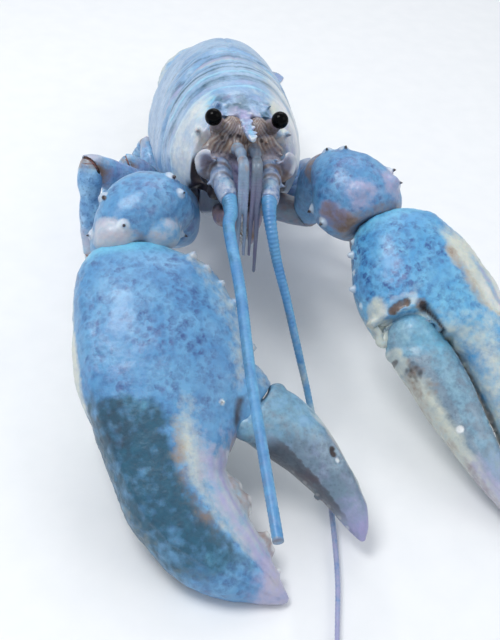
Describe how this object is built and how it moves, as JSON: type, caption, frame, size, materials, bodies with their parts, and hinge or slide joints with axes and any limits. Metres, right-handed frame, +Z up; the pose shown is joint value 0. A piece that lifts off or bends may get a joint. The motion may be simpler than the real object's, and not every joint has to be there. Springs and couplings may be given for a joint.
{
  "type": "american lobster",
  "caption": "Still, life-size model of a pastel blue american lobster standing on its walking legs, both claws held forward and down to the floor, with one long feeler on the floor.",
  "frame": {"origin": "middle of the model's footprint on the floor, at the middle of its box and the level of its feet", "axes": "+Z up from the floor, +Y from the head towards the tail, +X towards the animal's left side"},
  "size_m": [0.161, 0.4562, 0.0939],
  "materials": {
    "shell_blue": "glossy shell, mottled blue",
    "shell_pale": "glossy shell, pale blue",
    "feeler_blue": "satin shell, bright blue",
    "joint_tan": "soft skin and thin shell, brownish grey",
    "eye_black": "glossy, black"
  },
  "bodies": {
    "root": {"antenna_base_left": "joint_tan", "antenna_base_right": "joint_tan", "antenna_left": "feeler_blue", "antenna_right": "feeler_blue", "antennule_left": "joint_tan", "antennule_right": "joint_tan", "carapace": "shell_pale", "crusher_arm": "shell_blue", "crusher_finger": "shell_blue", "crusher_palm": "shell_blue", "crusher_shoulder": "joint_tan", "crusher_wrist": "shell_blue", "cutter_arm": "shell_blue", "cutter_finger": "shell_blue", "cutter_palm": "shell_blue", "cutter_shoulder": "joint_tan", "cutter_wrist": "shell_blue", "eye_left": "eye_black", "eye_right": "eye_black", "face": "joint_tan", "leg_1_left_shank": "shell_blue", "leg_1_left_thigh": "shell_blue", "leg_1_left_toe": "shell_pale", "leg_1_right_shank": "shell_blue", "leg_1_right_thigh": "shell_blue", "leg_1_right_toe": "shell_pale", "leg_2_left_shank": "shell_blue", "leg_2_left_thigh": "shell_blue", "leg_2_left_toe": "shell_pale", "leg_2_right_shank": "shell_blue", "leg_2_right_thigh": "shell_blue", "leg_2_right_toe": "shell_pale", "leg_3_left_shank": "shell_blue", "leg_3_left_thigh": "shell_blue", "leg_3_left_toe": "shell_pale", "leg_3_right_shank": "shell_blue", "leg_3_right_thigh": "shell_blue", "leg_3_right_toe": "shell_pale", "leg_4_left_shank": "shell_blue", "leg_4_left_thigh": "shell_blue", "leg_4_left_toe": "shell_pale", "leg_4_right_shank": "shell_blue", "leg_4_right_thigh": "shell_blue", "leg_4_right_toe": "shell_pale", "maxilliped_left": "joint_tan", "maxilliped_right": "joint_tan", "sternum": "joint_tan", "tail_blade_inner_left": "shell_pale", "tail_blade_inner_right": "shell_pale", "tail_blade_outer_left": "shell_pale", "tail_blade_outer_right": "shell_pale", "tail_ring_1": "shell_pale", "tail_ring_2": "shell_pale", "tail_ring_3": "shell_pale", "tail_ring_4": "shell_pale", "tail_ring_5": "shell_pale", "tail_ring_6": "shell_pale", "telson": "shell_pale"}
  },
  "joints": []
}
